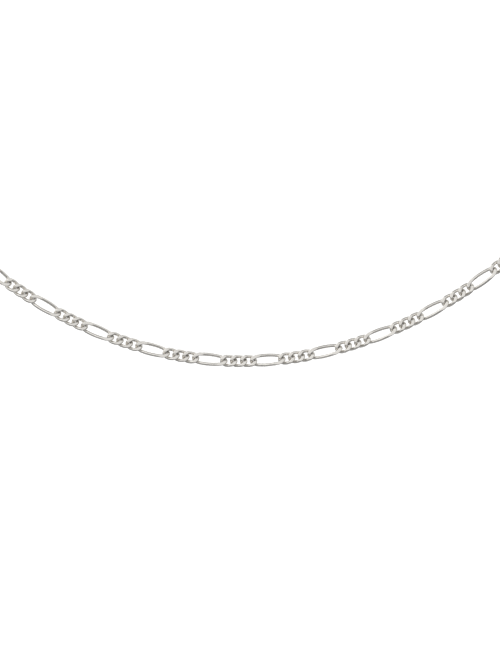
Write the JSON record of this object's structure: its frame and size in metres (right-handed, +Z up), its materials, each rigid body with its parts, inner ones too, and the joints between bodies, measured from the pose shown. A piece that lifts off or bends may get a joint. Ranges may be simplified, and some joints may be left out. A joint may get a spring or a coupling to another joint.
{
  "type": "figaro chain necklace",
  "caption": "Silver figaro chain necklace of flat ground curb links, short ones and a long one in turn, closed behind the neck by a plain clasp and jump rings.",
  "frame": {"origin": "the point on the inner side of the clasp where the necklace lies on the nape", "axes": "+Z up, -Y towards the front of the chest, +X towards the right of someone who looks at the front of the chain"},
  "size_m": [0.1573, 0.1, 0.1098],
  "materials": {
    "chain_silver": "polished silver with ground flat faces",
    "ring_silver": "polished silver wire",
    "clasp_silver": "polished silver with fine scratches"
  },
  "bodies": {
    "root": {"chain_left": "chain_silver", "chain_right": "chain_silver", "jump_ring_left": "ring_silver", "jump_ring_right": "ring_silver", "clasp": "clasp_silver"}
  },
  "joints": []
}
